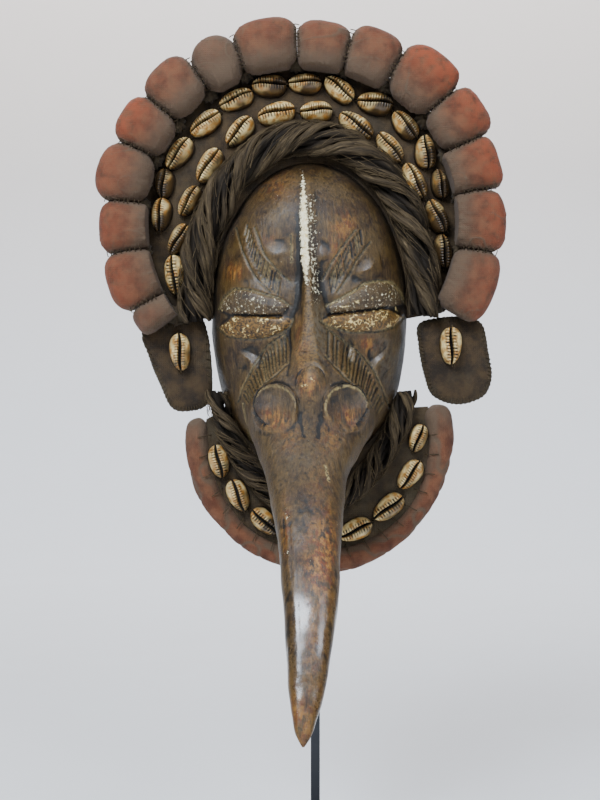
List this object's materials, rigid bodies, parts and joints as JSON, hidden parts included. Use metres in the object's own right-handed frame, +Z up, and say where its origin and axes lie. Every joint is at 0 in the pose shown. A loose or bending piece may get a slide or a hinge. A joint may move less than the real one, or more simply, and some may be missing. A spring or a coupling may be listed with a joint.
{
  "type": "monkey bird mask",
  "caption": "Carved wooden face mask with a long bird's beak, a padded cloth headdress and collar sewn with cowries, on a steel stand.",
  "frame": {"origin": "centre of the foot plate's underside", "axes": "+Z up along the stand's upright, -Y the way the face looks, +X to the right as seen from the front"},
  "size_m": [0.2617, 0.2346, 0.5442],
  "materials": {
    "blackened_wood": "dark oiled wood, worn glossy on the high places, with traces of white clay",
    "red_cloth": "stuffed red-brown cotton, dull with dirt, brighter where it was covered",
    "dark_cloth": "brown-black cotton stiff with old oil and dust",
    "plant_fibre": "dark twisted plant fibre, dry and dull",
    "shell": "yellowed cowrie shell, glossy, with dirt in the slit",
    "black_steel": "satin black paint on square steel bar"
  },
  "bodies": {
    "root": {"foot_plate": "black_steel", "upright_and_hook": "black_steel", "cross_bar": "black_steel", "mask": "blackened_wood", "headdress_band": "dark_cloth", "brow_rope": "plant_fibre", "ear_flap_left": "dark_cloth", "ear_flap_right": "dark_cloth", "collar_cloth": "dark_cloth", "collar_roll": "red_cloth", "chin_fibre": "plant_fibre", "stuffed_pad_01": "red_cloth", "stuffed_pad_02": "red_cloth", "stuffed_pad_03": "red_cloth", "stuffed_pad_04": "red_cloth", "stuffed_pad_05": "red_cloth", "stuffed_pad_06": "red_cloth", "stuffed_pad_07": "red_cloth", "stuffed_pad_08": "red_cloth", "stuffed_pad_09": "red_cloth", "stuffed_pad_10": "red_cloth", "stuffed_pad_11": "red_cloth", "stuffed_pad_12": "red_cloth", "stuffed_pad_13": "red_cloth", "stuffed_pad_14": "red_cloth", "stuffed_pad_15": "red_cloth", "crest_cowrie_01": "shell", "crest_cowrie_02": "shell", "crest_cowrie_03": "shell", "crest_cowrie_04": "shell", "crest_cowrie_05": "shell", "crest_cowrie_06": "shell", "crest_cowrie_07": "shell", "crest_cowrie_08": "shell", "crest_cowrie_09": "shell", "crest_cowrie_10": "shell", "crest_cowrie_11": "shell", "crest_cowrie_12": "shell", "crest_cowrie_13": "shell", "crest_cowrie_14": "shell", "crest_cowrie_15": "shell", "crest_cowrie_16": "shell", "crest_cowrie_17": "shell", "crest_cowrie_18": "shell", "crest_cowrie_19": "shell", "crest_cowrie_20": "shell", "crest_cowrie_21": "shell", "crest_cowrie_22": "shell", "crest_cowrie_23": "shell", "crest_cowrie_24": "shell", "collar_cowrie_1": "shell", "collar_cowrie_2": "shell", "collar_cowrie_3": "shell", "collar_cowrie_4": "shell", "collar_cowrie_5": "shell", "collar_cowrie_6": "shell", "collar_cowrie_7": "shell", "collar_cowrie_8": "shell", "flap_cowrie_left": "shell", "flap_cowrie_right": "shell"}
  },
  "joints": []
}
